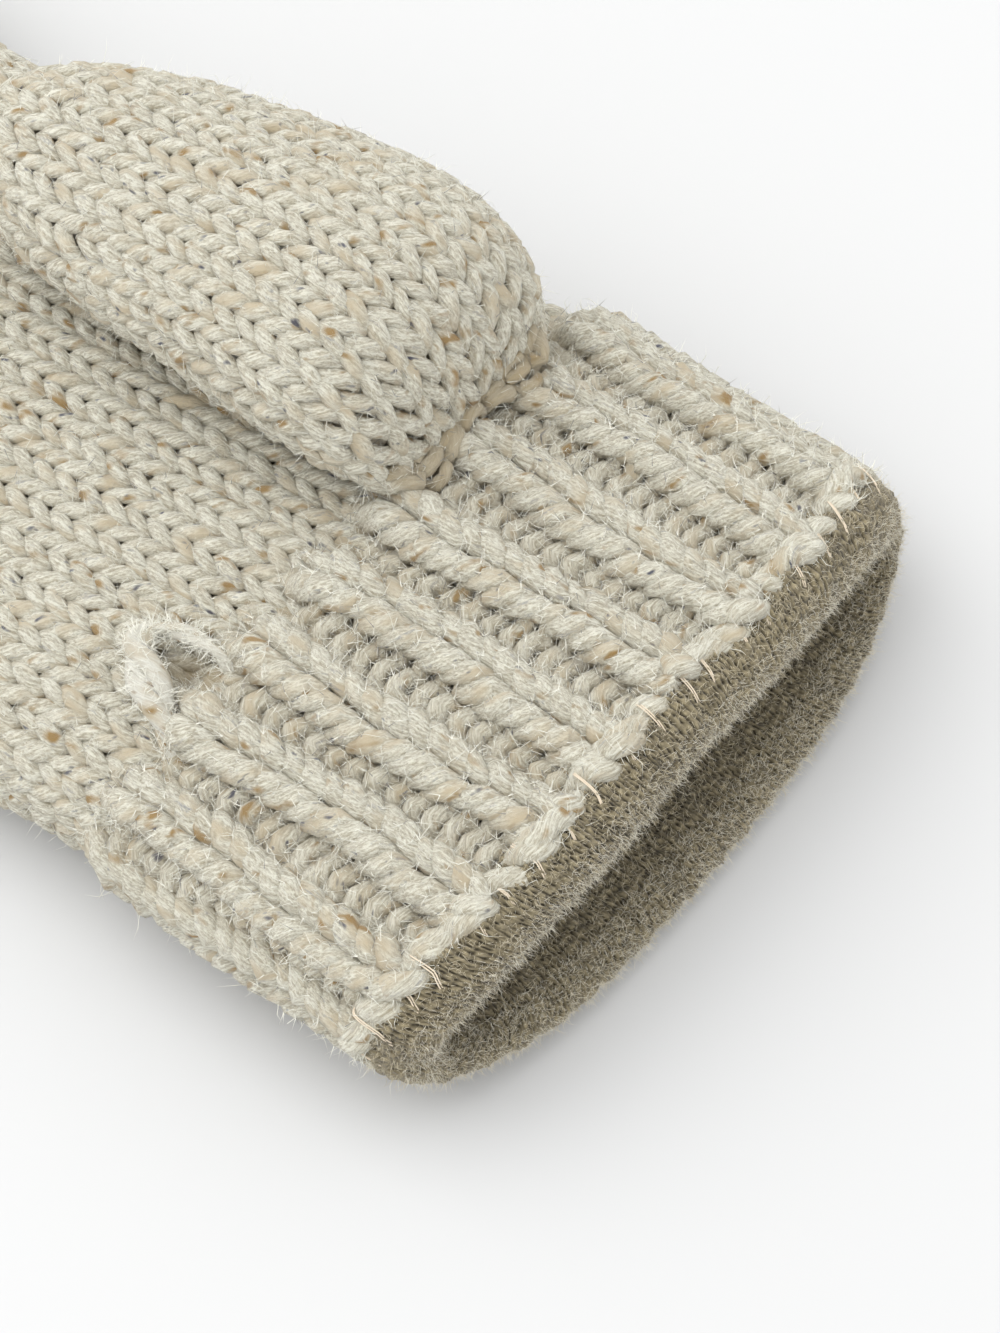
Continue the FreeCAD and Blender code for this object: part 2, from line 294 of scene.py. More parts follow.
def grid_faces(rows, columns, wrap):
    """Quads of a grid of points, closed round if wrap."""
    r = np.arange(rows - 1)[:, None]
    c = np.arange(columns if wrap else columns - 1)[None, :]
    d = (c + 1) % columns
    corners = [r * columns + c, r * columns + d, (r + 1) * columns + d, (r + 1) * columns + c]
    return np.stack([np.broadcast_to(k, (rows - 1, c.shape[1])) for k in corners], -1).reshape(-1, 4)


class Pile:
    """Collects points, faces and attributes, and makes one object of them."""

    def __init__(self):
        self.points, self.faces, self.yarn, self.normals, self.deep = [], [], [], [], []
        self.count = 0

    def add(self, points, faces, yarn, normals, deep=None):
        self.points.append(points)
        self.faces.append(faces + self.count)
        self.yarn.append(yarn)
        self.normals.append(normals)
        self.deep.append(np.zeros(len(points)) if deep is None else deep)
        self.count += len(points)

    def make(self, name, material):
        points, faces = np.concatenate(self.points), np.concatenate(self.faces)
        attributes = {"yarn": np.concatenate(self.yarn), "deep": np.concatenate(self.deep)}
        return to_mesh(name, points, faces, material, attributes)

    def pick(self, count):
        """Random points of the pile, and the normals there."""
        points, normals = np.concatenate(self.points), np.concatenate(self.normals)
        chosen = rng.integers(0, len(points), count)
        return points[chosen], normals[chosen]

    def share_of(self, low, high):
        """The points from one share of the pile to another, for fuzz alone."""
        points, normals = np.concatenate(self.points), np.concatenate(self.normals)
        chosen = slice(int(low * len(points)), int(high * len(points)))
        part = Pile()
        part.add(points[chosen], np.zeros((0, 4), int), points[chosen], normals[chosen])
        return part


LOBE = 0.05


def twisted_pair(line, out, phase, reach, lift, radius, closed, start, twist=13.0):
    """A pile of two strands twisted round each other along a line: reach to its sides and lift up."""
    pile = Pile()
    for strand in (0, math.pi):
        turn = (phase + strand)[:, None]
        path = line + np.cos(turn) * out * reach + np.sin(turn) * UP * lift
        pile.add(*sweep(path, UP, radius, closed, start=strand * start, twist=twist))
    return pile


def ring_of(angle, rise, shift):
    """The directions at each angle from rise towards shift."""
    return np.cos(angle)[None, :, None] * rise[:, None] + np.sin(angle)[None, :, None] * shift[:, None]


def sweep(path, up, radius, closed, start=0.0, twist=13.0, flat=0.92):
    """A yarn along a path. Returns its points, faces, yarn coordinates and outward normals. The yarn
    has three low lobes, and they and its coordinates turn with its twist, so that it looks spun."""
    if closed:
        ahead = np.roll(path, -1, 0) - np.roll(path, 1, 0)
    else:
        ahead = np.gradient(path, axis=0)
    ahead = unit(ahead)
    side = unit(np.cross(ahead, up))
    out = np.cross(side, ahead)
    step = np.linalg.norm(np.diff(path, axis=0, append=path[:1] if closed else path[-1:]), axis=1)
    run = start + np.concatenate([[0], np.cumsum(step)[:-1]])
    angle = np.linspace(0, 2 * math.pi, SIDES, endpoint=False)
    turn = angle[None, :] + run[:, None] * 2 * math.pi / twist
    thick = np.broadcast_to(np.asarray(radius), run.shape)[:, None]
    lobes = thick * (1 + LOBE * np.cos(3 * turn))
    points = path[:, None] + ring_of(angle, out * flat, side) * lobes[..., None]
    run = np.broadcast_to(run[:, None], turn.shape)
    yarn = np.stack([run, thick * np.cos(turn), thick * np.sin(turn)], -1)
    faces = grid_faces(len(path) + (1 if closed else 0), SIDES, True) % (len(path) * SIDES)
    return points.reshape(-1, 3), faces, yarn.reshape(-1, 3), ring_of(angle, out, side).reshape(-1, 3)


# Knitting


def even_columns(count):
    """The edges of count even columns, as shares of the way round."""
    return lambda skin, along: np.arange(count + 1) / count


def panel_columns(wale):
    """Straight columns up the middle of the palm side and of the back, cut off at the two sides, as on
    a mitten that narrows there."""

    def edges(skin, along):
        made = []
        for start, lengths in ((0.0, skin.top), (0.5, skin.foot)):
            half = np.interp(along, skin.along, lengths) / 2
            whole = max(1, int(round(half / wale - 0.1)))
            inner = np.arange(-whole + 1, whole) * wale
            made.append(np.concatenate([[-half], inner]) * 0.25 / half + start)
        return np.concatenate([made[0], made[1], [0.75]])

    return edges


def underneath(around):
    """1 in the middle of the side that lies on the table, 0 at the sides and above."""
    return smooth(-1.6 * np.cos(2 * math.pi * around))


# How unlike the stitches are: across in columns, along in rows, and in depth and thickness in yarns
UNEVEN_ACROSS, UNEVEN_ALONG, UNEVEN_DEPTH, UNEVEN_YARN = 0.02, 0.045, 0.07, 0.09
AXIS_DEPTH = 0.92


def knit_row(skin, along, edges, kinds, course, yarn, relief=None, spread=0.27, loop=0.97,
             depth=1.0, plump=0.14, press=0.0):
    """The centre line of one row: kinds holds +1 for a knit column and -1 for a purl column. Returns
    the path, the surface normals, the yarn's radius along it and how far it is off the skin."""
    count = len(edges) - 1
    t = np.linspace(-math.pi, math.pi, STEPS, endpoint=False)[None, :]
    width = np.diff(edges)[:, None]
    middle = edges[:-1, None] + width / 2
    turned = np.abs(t) / math.pi
    previous, following = np.roll(kinds, 1)[:, None], np.roll(kinds, -1)[:, None]
    beside = np.where(t < 0, previous, following)
    kind = kinds[:, None] * np.ones_like(t)
    share = np.where(beside == kind, 0.0, smooth((turned - 0.55) / 0.45))
    kind = kind * (1 - share)
    jitter = rng.normal(0, 1, (3, count, 1))
    jitter = (jitter * (1 - turned) + (jitter + np.roll(jitter, -1, 1)) / 2 * turned * (t > 0)
              + (jitter + np.roll(jitter, 1, 1)) / 2 * turned * (t <= 0))
    across = t / (2 * math.pi) + spread * np.sin(2 * t) + UNEVEN_ACROSS * jitter[0]
    around = middle + width * across
    up_down = along + course * (loop * np.cos(t) + UNEVEN_ALONG * jitter[1])
    off = -yarn * (kind * depth * np.cos(2 * t) + depth + AXIS_DEPTH - UNEVEN_DEPTH * jitter[2])
    around, up_down, off = around.ravel(), up_down.ravel(), off.ravel()
    if relief is not None:
        off = off + relief(around, up_down)
    if press:
        off = np.minimum(off * (1 - press * underneath(around)), -AXIS_DEPTH * yarn)
    path, normal = skin.at(around, up_down, off)
    fatness = 1 + UNEVEN_YARN * np.repeat(rng.normal(0, 1, count), STEPS)
    fatness = (fatness + np.roll(fatness, STEPS // 2) + np.roll(fatness, STEPS // 4)) / 3
    fatness = fatness * (1 - plump + 2 * plump * np.abs(np.sin(np.tile(t.ravel(), count))))
    return path, normal, yarn * fatness, off


def knit(skin, columns, rows, course, yarn, kinds=None, relief=None, keep=None, sink=(0.7, 2.0),
         **loops):
    """Rows of knitting on a skin, as one Pile per zone. keep maps a zone's name to a test on how far
    round a stitch is. sink says from what depth, and over how much more, the yarn counts as deep, and so how
    much painted shade the tweed gives it."""
    keep = keep or {"all": lambda a: np.ones_like(a, bool)}
    piles = {zone: Pile() for zone in keep}
    for row in range(rows):
        along = (row + 0.5) * course
        edges = columns(skin, along)
        kind = np.ones(len(edges) - 1) if kinds is None else kinds(len(edges) - 1)
        path, normal, radius, off = knit_row(skin, along, edges, kind, course, yarn, relief, **loops)
        points, faces, coords, out = sweep(path, normal, radius, True, start=row * 611.0)
        rise = radius[:, None] * np.cos(np.linspace(0, 2 * math.pi, SIDES, endpoint=False))
        # How deep the yarn lies between the stitches: the tweed paints shade in by this.
        deep = np.clip((-off[:, None] - rise - sink[0]) / sink[1], 0, 1).ravel()
        at = np.repeat(np.repeat((edges[:-1] + edges[1:]) / 2, STEPS), SIDES) % 1.0
        for zone, test in keep.items():
            chosen = test(at[faces[:, 0]])
            if chosen.any():
                used, local = np.unique(faces[chosen], return_inverse=True)
                piles[zone].add(points[used], local.reshape(-1, 4), coords[used], out[used], deep[used])
    return piles


def stockinette(skin, **more):
    rows = int(round(skin.length / COURSE))
    return knit(skin, panel_columns(WALE), rows, skin.length / rows, YARN, **more)


def fuzz(name, pile, count, material, length=(1.6, 4.6), width=0.042, lift=0.6):
    """Loose fibres that stand off the yarn: each is a slim three-sided spike with a bend."""
    base, out = pile.pick(count)
    heading = unit(out * lift * rng.uniform(0.3, 1.6, (count, 1)) + rng.normal(0, 0.6, (count, 3)))
    bend = unit(heading + rng.normal(0, 0.55, (count, 3)))
    reach = rng.uniform(*length, (count, 1)) * rng.uniform(0.4, 1.0, (count, 1))
    middle = base + heading * reach * 0.5
    tip = middle + bend * reach * 0.5
    ring = spike_ring(heading)
    foot = (base - out * 0.15)[:, None] + ring * width
    belt = middle[:, None] + ring * width * 0.8
    one = [(i, (i + 1) % 3, 3 + (i + 1) % 3) for i in range(3)]
    one += [(i, 3 + (i + 1) % 3, 3 + i) for i in range(3)]
    one += [(3 + i, 3 + (i + 1) % 3, 6) for i in range(3)]
    return spikes(name, [foot, belt, tip[:, None]], one, material)


def nap(name, pile, count, material, length=(0.8, 2.2), width=0.06):
    """Short straight fibres that lie along the yarn and blur its edges."""
    base, out = pile.pick(count)
    heading = rng.normal(0, 1, (count, 3))
    heading += out * (0.5 * rng.uniform(0.2, 1.8, (count, 1)) - (heading * out).sum(1, keepdims=True))
    heading = unit(heading)
    reach = rng.uniform(*length, (count, 1))
    foot = (base - out * 0.03)[:, None] + spike_ring(heading) * width
    tip = base + out * 0.04 + heading * reach
    return spikes(name, [foot, tip[:, None]], [(i, (i + 1) % 3, 3) for i in range(3)], material)


def spike_ring(heading):
    """Three directions across each heading."""
    across = unit(np.cross(heading, rng.normal(0, 1, heading.shape)))
    return ring_of(np.arange(3) * 2 * math.pi / 3, across, np.cross(heading, across))


def spikes(name, parts, one, material):
    """All the spikes as one object, kept off the surface that the mitten lies on. parts are their
    points, ring by ring, and one is the faces of the first."""
    corners = np.concatenate(parts, 1)
    points = corners.reshape(-1, 3)
    points[:, 2] = np.maximum(points[:, 2], FLOOR_GAP)
    first = corners.shape[1] * np.arange(len(corners))
    faces = (np.array(one)[None] + first[:, None, None]).reshape(-1, 3)
    return to_mesh(name, points, faces, material)


# Materials


class Look:
    """A material: its nodes, and the surface that they end in. Inputs that are the same all over the
    surface are given by name, with _ for each space."""

    def __init__(self, name, roughness, **uniform):
        self.material = bpy.data.materials.new(name)
        self.material.use_nodes = True
        self.tree = self.material.node_tree
        self.surface = self.tree.nodes["Principled BSDF"]
        for key, value in dict(uniform, Roughness=roughness).items():
            self.surface.inputs[key.replace("_", " ")].default_value = value

    def node(self, kind, inputs, output, **settings):
        """One output of a new node."""
        made = self.tree.nodes.new(kind)
        for key, value in settings.items():
            setattr(made, key, value)
        for key, value in inputs.items():
            if isinstance(value, bpy.types.NodeSocket):
                self.tree.links.new(value, made.inputs[key])
            else:
                made.inputs[key].default_value = value
        return made.outputs[output]

    def attribute(self, name, output="Fac"):
        return self.node("ShaderNodeAttribute", {}, output, attribute_name=name)

    def millimetres(self):
        """Places on the object, in millimetres."""
        return self.scaled(self.node("ShaderNodeTexCoord", {}, "Object"), (1 / MM, 1 / MM, 1 / MM))

    def scaled(self, coords, scale, offset=(0, 0, 0)):
        inputs = {"Vector": coords, "Scale": scale, "Location": offset}
        return self.node("ShaderNodeMapping", inputs, "Vector")

    def noise(self, coords, scale, detail, rough=0.5, offset=(0, 0, 0)):
        """Noise as fine along each axis as scale says."""
        vector = self.scaled(coords, scale, offset)
        inputs = {"Vector": vector, "Scale": 1.0, "Detail": detail, "Roughness": rough}
        return self.node("ShaderNodeTexNoise", inputs, "Fac")

    def blend(self, share, under, over):
        """under where share is 0, over where it is 1."""
        return self.node("ShaderNodeMix", {0: share, 6: under, 7: over}, 2, data_type="RGBA")

    def layer(self, value, start, full, under, over):
        """over lies on under: none of it where value is at start, all of it at full."""
        inputs = {"Value": value, "From Min": start, "From Max": full}
        return self.blend(self.node("ShaderNodeMapRange", inputs, "Result"), under, over)

    def finish(self, colour, height, strength, distance, invert=False):
        """Wires in the colour and a bump. Returns the material."""
        inputs = {"Height": height, "Strength": strength, "Distance": distance}
        bump = self.node("ShaderNodeBump", inputs, "Normal", invert=invert)
        self.tree.links.new(colour, self.surface.inputs["Base Color"])
        self.tree.links.new(bump, self.surface.inputs["Normal"])
        return self.material


TWEED_LAYERS = (
    # scale, detail and roughness of the noise, its offset, where it starts and is full, colour
    ((0.16, 0.3, 0.3), 2.0, 0.5, (0, 0, 0), 0.53, 0.72, (0.66, 0.555, 0.37, 1)),  # warm drift
    ((0.3, 1.1, 1.1), 4.0, 0.65, (40, 7, 3), 0.60, 0.74, (0.40, 0.385, 0.36, 1)),  # grey patches
    ((0.36, 0.5, 0.5), 1.0, 0.5, (90, 31, 8), 0.635, 0.76, (0.39, 0.235, 0.06, 1)),  # ochre flecks
    ((0.5, 0.8, 0.8), 1.0, 0.5, (12, 77, 51), 0.70, 0.79, (0.06, 0.065, 0.10, 1)),  # slate flecks
)
# Painted shade: the tweed darkens to this warm brown where its yarn lies deep between the stitches; the next
# number is how far the deepest yarn goes towards it.
DEEP_PAINTED_SHADE = (0.46, 0.36, 0.20, 1)
DEEP_SHADE_SHARE = 0.72


def tweed(name, light, dark):
    """Tweed yarn: streaks along the spun fibres, soft changes of tone from stitch to stitch, flecks, and a
    warm brown painted shade deep between the stitches."""
    look = Look(name, 0.93, Sheen_Weight=0.35, Sheen_Roughness=0.6, Specular_IOR_Level=0.15)
    coords = look.attribute("yarn", "Vector")
    streak = look.noise(coords, (0.45, 3.2, 3.2), 5.0, 0.7)
    colour = look.layer(streak, 0.36, 0.60, dark, light)
    for scale, detail, rough, offset, start, full, over in TWEED_LAYERS:
        colour = look.layer(look.noise(coords, scale, detail, rough, offset), start, full, colour, over)
    # Painted shade: the deeper the yarn lies between the stitches, the more it darkens to the warm brown.
    inputs = {"Value": look.attribute("deep"), "To Max": DEEP_SHADE_SHARE}
    colour = look.blend(look.node("ShaderNodeMapRange", inputs, "Result"), colour, DEEP_PAINTED_SHADE)
    return look.finish(colour, look.noise(coords, (0.8, 5.0, 5.0), 5.0, 0.7), 0.9, 0.0008)


def fine_wool(name, light, dark):
    """The brushed taupe wool of the lining, darkened as painted shade where its stitches stand low."""
    look = Look(name, 0.95, Sheen_Weight=0.3, Sheen_Roughness=0.6, Specular_IOR_Level=0.1)
    grain = look.noise(look.attribute("yarn", "Vector"), (1.3, 1.3, 1.3), 5.0, 0.75)
    # Painted shade: the lower a stitch stands, the nearer the wool comes to the near-black taupe.
    inputs = {0: look.attribute("height"), 1: grain, 2: -0.12}
    shade = look.node("ShaderNodeMath", inputs, 0, operation="MULTIPLY_ADD")
    return look.finish(look.layer(shade, -0.02, 0.58, dark, light), grain, 0.8, 0.0004)


def plain_fibre(name, colour, roughness=0.8):
    return Look(name, roughness, Base_Color=colour, Sheen_Weight=0.4, Specular_IOR_Level=0.2).material


OATMEAL = (0.945, 0.925, 0.785, 1)
OATMEAL_DARK = (0.45, 0.39, 0.262, 1)
TAUPE = (0.50, 0.425, 0.262, 1)
# Painted shade for the lining wool between its stitches, far darker than the wool itself.
TAUPE_PAINTED_SHADE = (0.055, 0.043, 0.022, 1)
WOOL = tweed("oatmeal_tweed", OATMEAL, OATMEAL_DARK)
IVORY = tweed("ivory_tweed", (0.97, 0.955, 0.85, 1), (0.76, 0.72, 0.60, 1))
WOOL_FUZZ = plain_fibre("oatmeal_fibre", (0.90, 0.89, 0.79, 1))
BRIGHT_FUZZ = plain_fibre("bright_fibre", (0.97, 0.96, 0.86, 1))
GREY_FUZZ = plain_fibre("grey_fibre", (0.30, 0.28, 0.25, 1))
LINING = fine_wool("taupe_wool", TAUPE, TAUPE_PAINTED_SHADE)
LINING_FUZZ = plain_fibre("taupe_fibre", (0.67, 0.60, 0.44, 1))
THREAD = plain_fibre("sewing_thread", (0.72, 0.62, 0.48, 1), 0.5)


def attach(made, body, *nodes, slot="outer_knit"):
    """Hides the nodes that a piece replaces, and parents it to the body it rides, or passes it to the
    function given in its place. slot is not used.
    """
    if nodes:
        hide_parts(*nodes)
    return body(made) if callable(body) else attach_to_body(made, body)


# Cloth under the yarn, and the linings


def cloth(name, skin, off, body, replaced, lining=False, around=(0.25, 1.25), along=None,
          steps=(60, 160)):
    """The fabric that the loops of a bulky piece lie on, or a lining: one even sheet, off below the
    skin, whose edges meet at the side. A strip too short to count as a sheet isn't declared."""
    rows, columns = steps
    along = along or (0.0, skin.length)
    a, v = np.meshgrid(np.linspace(*around, columns), np.linspace(*along, rows))
    points, _ = skin.at(a, v, np.full(a.shape, -off))
    flat = points.reshape(-1, 3)
    # Painted shade: a bulky piece's sheet counts as deep all over, so the tweed paints it mostly dark brown;
    # a lining's sheet has a low even height, so the taupe wool paints it dark.
    made = to_mesh(name, flat, grid_faces(rows, columns, False), LINING if lining else WOOL, {
        "yarn": flat, "height": np.full(len(flat), 0.3), "deep": np.ones(len(flat)),
    })
    attach(made, body, replaced, slot="lining_knit" if lining else "outer_knit")


def zones(half):
    """The palm side, as far as half each way from its middle, and the back."""
    return {
        "palm": lambda a: (a < half) | (a > 1 - half),
        "back": lambda a: (a >= half) & (a <= 1 - half),
    }


PALM_AND_BACK = zones(0.25)
# How far under the skin the cloth lies
BACKING = 2.9
CUFF_BACKING = 4.6
THUMB_BACKING = 2.3
BAND_BACKING = 2.6
STALL_BACKING = 1.5
ROLL_BACKING = 0.9
LINING_DEPTH = 4.6
THUMB_LINING_DEPTH = 3.4


# The cuff

cuff_skin = Skin([cuff_ring(s) for s in np.linspace(1, 0, 40)])
RIB_ROWS = int(CUFF_LENGTH / RIB_COURSE)
FOOT_PRESS = 0.4
RIDGE = 0.64


def rib_drift(around, along):
    """How far the ribs wander from straight, as a share of a rib."""
    return waves(around, (0.05, 7, along * 0.14)) + 0.02 * np.sin(along * 0.5 + around * 90)


def rib_edges(skin, along):
    """Wide knit columns and narrow purl ones, in turn."""
    pairs = np.arange(RIB_COLUMNS // 2)
    pairs = pairs + rib_drift(pairs / len(pairs), along)
    both = np.stack([pairs - RIDGE / 2, pairs + RIDGE / 2], 1).ravel()
    return np.append(both, both[0] + len(pairs)) / len(pairs) + 0.5 / len(pairs)


def rib_kinds(count):
    """Knit and purl in turn."""
    return np.where(np.arange(count) % 2 == 0, 1.0, -1.0)


def rib_relief(around, along):
    """Ridges stand out and gutters sink in. At the wrist both curl down on to the hand, the gutters
    sooner, and at the rim the ridges round over."""
    place = around * RIB_COLUMNS / 2 - 0.5 - rib_drift(around, along)
    ridge = (np.tanh(1.6 * (np.cos(2 * math.pi * place) + 0.2)) + 1) / 2
    to_wrist = cuff_skin.length - along
    height = RIB_RELIEF * 2 * (ridge - 0.85) * smooth(along / 4.0 + 0.3)
    return height - 3.4 * (1 - smooth((to_wrist + 0.5) / (6.5 - 2.5 * ridge)))


cuff = knit(
    cuff_skin, rib_edges, RIB_ROWS, RIB_COURSE, 1.5, rib_kinds, relief=rib_relief,
    keep=PALM_AND_BACK, spread=0.22, loop=1.12, depth=0.85, plump=0.12, press=FOOT_PRESS,
    sink=(1.6, 4.0),
)
cuff_yarn = [attach(cuff[side].make("cuff_rib_" + side, WOOL), "hand", "cuff_rib") for side in PALM_AND_BACK]
cuff_fuzz = [
    attach(fuzz("cuff_fuzz_palm", cuff["palm"], 20000, WOOL_FUZZ), "hand"),
    attach(nap("cuff_nap_palm", cuff["palm"], 26000, BRIGHT_FUZZ), "hand"),
    attach(nap("cuff_nap_grey", cuff["palm"], 5000, GREY_FUZZ), "hand"),
    attach(fuzz("cuff_fuzz_back", cuff["back"], 6000, WOOL_FUZZ), "hand"),
]
cloth("cuff_cloth", cuff_skin, CUFF_BACKING, "hand", "cuff_rib")


# The cast-on edge: two strands twisted round each other, a nugget to every stitch

CAST_ON_TURNS = 27


def cast_on():
    """Two strands along the cuff's edge, thicker and thinner as they turn."""
    pile = Pile()
    turns = np.linspace(0, 1, CAST_ON_TURNS * 18, endpoint=False)
    for strand in (0, math.pi):
        phase = turns * 2 * math.pi * CAST_ON_TURNS + strand
        wobble = waves(turns, (0.4, 11, 0), (0.3, 5, 1))
        ridge = 0.8 * np.cos(2 * math.pi * (turns * RIB_COLUMNS / 2 - 0.5))
        phase = phase + waves(turns, (0.9, 13, strand), (0.5, 29, 0))
        along = 0.4 + wobble + 1.2 * np.cos(phase)
        off = (-2.5 + ridge + 1.1 * np.sin(phase)) * (1 - FOOT_PRESS * underneath(turns))
        path, normal = cuff_skin.at(turns, np.maximum(along, 0), off)
        path[:, 0] += np.maximum(-along, 0)
        thick = 1.5 * (1 + 0.14 * np.sin(phase + 0.7) + waves(turns, (0.05, 17, 0)))
        pile.add(*sweep(path, normal, thick, True, start=strand * 900))
    return pile


edge = cast_on()
attach(edge.make("cast_on_edge", WOOL), "hand", "cuff_rib")
attach(fuzz("cast_on_fuzz", edge, 5000, WOOL_FUZZ), "hand")


# The lining, rolled out over the rim and in again

ROLL = (
    # further out than the cuff's edge, in from its outside
    (-4.0, 3.9), (-1.5, 2.6), (0.5, 1.8), (2.4, 2.1), (3.8, 3.2), (4.6, 4.8), (4.5, 6.3),
    (3.4, 7.6), (1.0, 8.4), (-2.5, 8.6), (-8.0, 8.5), (-16.0, 8.4), (-40.0, 8.4), (-52.0, 9.6),
)


ROLL_SAMPLES = 800
ROLL_ROUNDING = 31
ROLL_RINGS = 150
FOOT_THICKNESS = 0.66
LINING_ROUND = 330.0


def roll_profile():
    """Even steps along a smooth line through ROLL, and its length."""
    points = np.array(ROLL)
    line = smooth_line(points, run_along(points), ROLL_SAMPLES, ROLL_ROUNDING)
    run = run_along(line)
    even = np.linspace(0, run[-1], ROLL_RINGS)
    return np.stack([np.interp(even, run, column) for column in line.T], 1), run[-1]


class Roll(Skin):
    """The lining's surface: rings that follow the roll from the seam, round the rim and inside."""

    def __init__(self):
        profile, self.run = roll_profile()
        rings = [
            cuff_ring(1 + min(reach, 0) / CUFF_LENGTH, max(reach, 0), inset, inset * FOOT_THICKNESS)
            for reach, inset in profile
        ]
        super().__init__(rings)
        self.along = np.linspace(0, self.run, len(rings))
        self.length = self.run
        outward = np.gradient(profile, axis=0)
        middle = np.array([np.mean(ring, 0) for ring in rings])
        aim = self.points - middle[:, None]
        aim[..., 0] = 0
        wanted = unit(aim) * outward[:, None, 0:1] + np.array([1.0, 0, 0]) * outward[:, None, 1:2]
        flip = np.sign((self.normals * wanted).sum(2, keepdims=True))
        self.normals *= np.where(flip == 0, 1, flip)


def fine_height(across, along):
    """How high the fine knitting stands: two slanting legs to each stitch."""
    p, q = across % 1.0, along % 1.0
    tall = np.zeros_like(p)
    for side in (1, -1):
        middle = 0.5 - side * (0.25 + 0.15 * (q - 0.5))
        reach = np.clip(1 - ((p - middle) / 0.24) ** 2, 0, 1)
        tall = np.maximum(tall, np.sqrt(reach) * (0.62 + 0.38 * np.sin(math.pi * q)))
    return tall * (0.35 + 0.65 * np.sqrt(np.sin(math.pi * p)))


def attach_fine(made, *nodes):
    return attach(made, "hand", *nodes, slot="lining_knit")


def fine_knit(name, start, end, step_round, step_along):
    """A stretch of the rolled lining with its stitches raised, a little uneven. Returns the object
    and a pile for its fuzz."""
    columns = int(LINING_ROUND / step_round)
    rows = int((end - start) / step_along)
    a, v = np.meshgrid(np.linspace(0, 1, columns, endpoint=False), np.linspace(start, end, rows))
    across = a * round(LINING_ROUND / FINE_WALE) + waves(a, (0.22, 23, v * 0.35), (0.14, 57, -v * 0.8))
    tall = fine_height(across, v / FINE_COURSE + waves(a, (0.3, 31, 0)))
    lump = waves(a, (0.2, 7, 1.3)) * np.cos(v * 0.2) + waves(a, (0.16, 41, v * 0.5))
    lump = lump + waves(a, (0.14, 67, 1.9 * np.sin(v))) * np.sin(v * 0.9 + a * 60)
    grit = rng.normal(0, 0.09, a.shape)
    points, normals = roll.at(a, v, FINE_HEIGHT * tall + lump + grit)
    flat = points.reshape(-1, 3)
    faces = grid_faces(rows, columns, True)
    made = to_mesh(name, flat, faces, LINING, {"yarn": flat, "height": tall.ravel()})
    pile = Pile()
    pile.add(flat, faces, flat, normals.reshape(-1, 3))
    return attach_fine(made, "cuff_lining"), pile


roll = Roll()
RIM_RUN = 28.0
lining_rim, rim_pile = fine_knit("lining_rim", 0.0, RIM_RUN, 0.33, 0.33)
lining_inside, inside_pile = fine_knit("lining_inside", RIM_RUN, roll.run, 0.5, 0.55)
attach_fine(fuzz("lining_fuzz", rim_pile, 18000, LINING_FUZZ, (0.8, 3.0), 0.026))
attach_fine(nap("lining_nap", rim_pile, 16000, LINING_FUZZ, (0.5, 1.2), 0.035))
attach_fine(fuzz("inside_fuzz", inside_pile, 8000, LINING_FUZZ, (0.8, 2.2), 0.026))
cloth("cuff_lining_cloth", roll, ROLL_BACKING, "hand", "cuff_lining", True,
      along=(1.0, roll.run - 1.0), steps=(200, 240))
FRINGE = plain_fibre("fringe_fibre", (0.78, 0.74, 0.62, 1))
attach_fine(fuzz("fold_fringe", rim_pile.share_of(0.30, 0.55), 13000, FRINGE, (0.8, 2.6), 0.028))


# The whip stitches that hold the lining to the cuff

STITCH_PITCH = 8.2
THREAD_RADIUS = 0.09


def whip_stitches():
    """Slanting stitches of two threads, from the cuff's cast-on rows over on to the roll."""
    pile = Pile()
    count = int(LINING_ROUND / STITCH_PITCH)
    for i in range(count):
        at = (i + rng.uniform(-0.2, 0.2)) / count
        slant = -rng.uniform(1.6, 4.2) / LINING_ROUND
        for strand in range(2):
            shift = (strand * 0.35 + rng.uniform(-0.1, 0.1)) / LINING_ROUND
            t = np.linspace(0, 1, 12)
            around = at + shift + slant * t
            near, normal = cuff_skin.at(around, 2.6 * (1 - t), -1.9 + 1.5 * np.sin(math.pi * t))
            far, _ = roll.at(around, 3.4 + 3.6 * t, 0.75 - 0.5 * t**3)
            share = smooth((t - 0.1) / 0.5)[:, None]
            pile.add(*sweep(near * (1 - share) + far * share, normal, THREAD_RADIUS, False, twist=2.0))
    return pile


attach(whip_stitches().make("whip_stitches", THREAD), "hand", "rim_stitches", slot="sewing_thread")


# The hand

HAND_TUCK = 8.0
hand_skin = Skin([hand_ring(x) for x in np.linspace(WRIST_X + HAND_TUCK, HINGE_X, 60)])
HOLLOW = np.array([WRIST_X - 2.6, WRIST_Y - 25.4])
HOLLOW_DEPTH = 3.2
HOLLOW_RADIUS = 2.8
DISH_DEPTH = 3.8
DISH_PLAY = 2.4
DISH_SLOPE = 1.5


def palm_side(x):
    """The palm side of the hand's ring at X, from -Y to +Y."""
    return hand_ring(x)[np.arange(-QUARTER, QUARTER + 1)]


def hand_relief(around, along):
    """Stitches part and sink beside the knot of yarn, and sink behind the button."""
    high_side = palm_side(HOLLOW[0])[:, 1]
    middle = np.interp(HOLLOW[1], high_side, np.linspace(-0.25, 0.25, 2 * QUARTER + 1))
    across = ((around - middle + 0.5) % 1.0 - 0.5) * (hand_skin.top[10] * 2)
    down = along - (WRIST_X + HAND_TUCK - HOLLOW[0])
    hollow = HOLLOW_DEPTH * np.exp(-(across**2 + down**2) / HOLLOW_RADIUS**2)
    points, _ = hand_skin.at(around, along)
    apart = np.hypot(*(points - (BUTTON_LOW + BUTTON_HIGH) / 2)[..., :2].T)
    edge = (BUTTON_HIGH[0] - BUTTON_LOW[0]) / 2 + DISH_PLAY
    dish = DISH_DEPTH * smooth((edge - apart) / DISH_SLOPE)
    return -hollow - np.where(points[..., 2] < BUTTON_HIGH[2] * 2, dish, 0.0)


